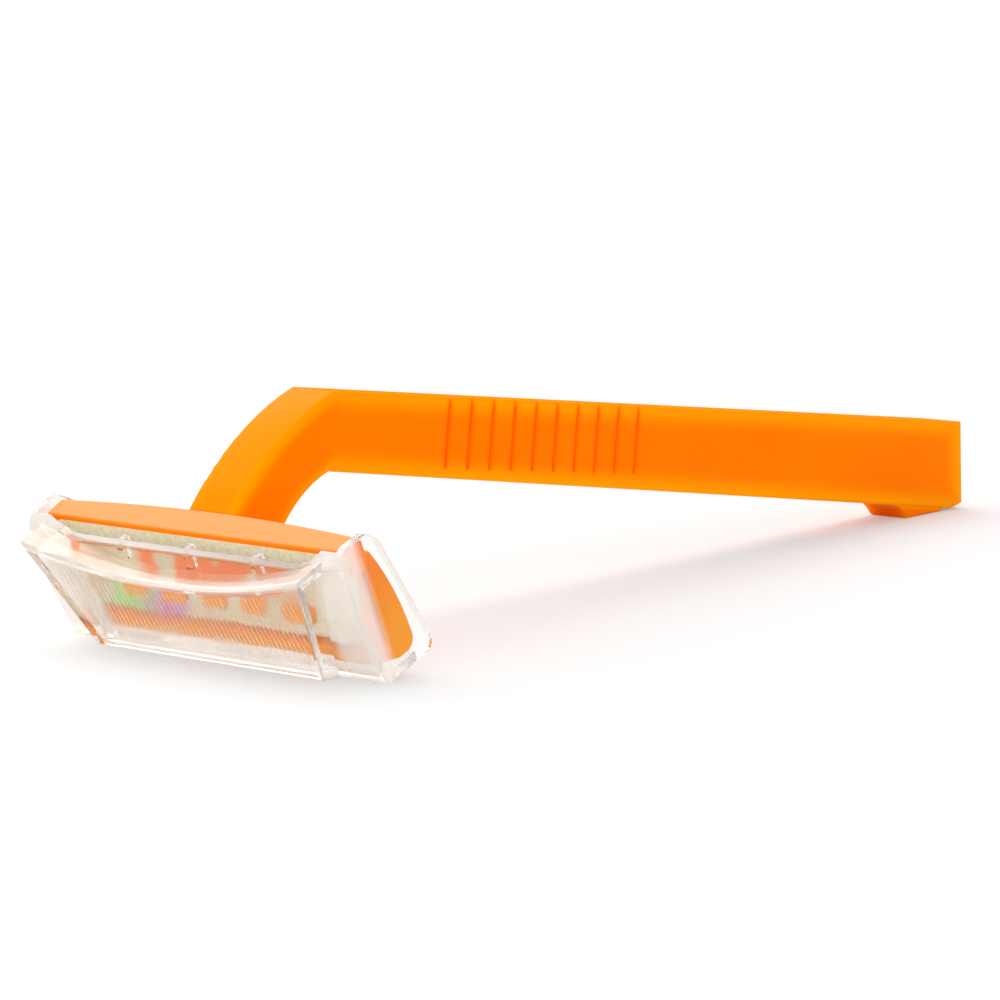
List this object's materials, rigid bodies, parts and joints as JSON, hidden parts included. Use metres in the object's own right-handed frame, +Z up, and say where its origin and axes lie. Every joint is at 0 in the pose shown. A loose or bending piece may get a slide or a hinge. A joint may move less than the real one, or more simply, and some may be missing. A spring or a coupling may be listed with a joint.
{
  "type": "disposable razor",
  "caption": "Single-blade disposable razor with a slim angled handle and a clear clip-on blade guard.",
  "frame": {"origin": "middle of the footprint, on the table the razor lies on", "axes": "+X from the head to the butt of the grip, +Y across the razor, +Z up"},
  "size_m": [0.1384, 0.0434, 0.0258],
  "materials": {
    "orange_plastic": "satin moulded orange",
    "blade_steel": "ground and polished",
    "strip_polymer": "matte, soft when wet",
    "clear_plastic": "clear moulded with fine ribs"
  },
  "bodies": {
    "razor": {"handle": "orange_plastic", "blade": "blade_steel", "cap": "orange_plastic", "lubricating_strip": "strip_polymer"},
    "guard": {"blade_guard": "clear_plastic"}
  },
  "joints": [
    {"name": "guard_pull", "type": "slide", "parent": "razor", "child": "guard", "axis": [-0.9249, 0, -0.3803], "range_m": [0, 0.03]}
  ]
}
